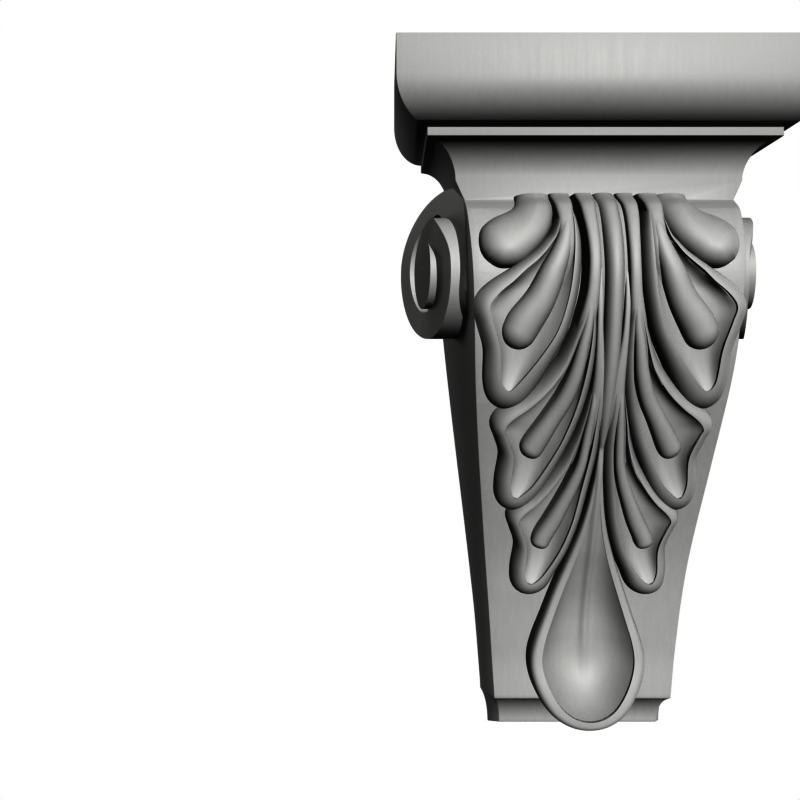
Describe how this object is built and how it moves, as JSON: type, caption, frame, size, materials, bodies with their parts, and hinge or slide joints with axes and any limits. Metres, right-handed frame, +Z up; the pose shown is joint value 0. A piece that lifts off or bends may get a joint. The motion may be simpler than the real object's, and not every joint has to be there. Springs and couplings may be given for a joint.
{
  "type": "corbel bracket",
  "caption": "Carved wooden corbel with a moulded cap, side volutes, an acanthus leaf and a spoon-shaped drop, flat at the back for a wall.",
  "frame": {"origin": "on the flat wall face, on the centreline, halfway up", "axes": "+Z up along the wall, +Y into the wall, +X to the right when facing the corbel"},
  "size_m": [0.1976, 0.0995, 0.3558],
  "materials": {
    "painted_wood": "satin grey painted wood"
  },
  "bodies": {
    "root": {"corbel": "painted_wood"}
  },
  "joints": []
}
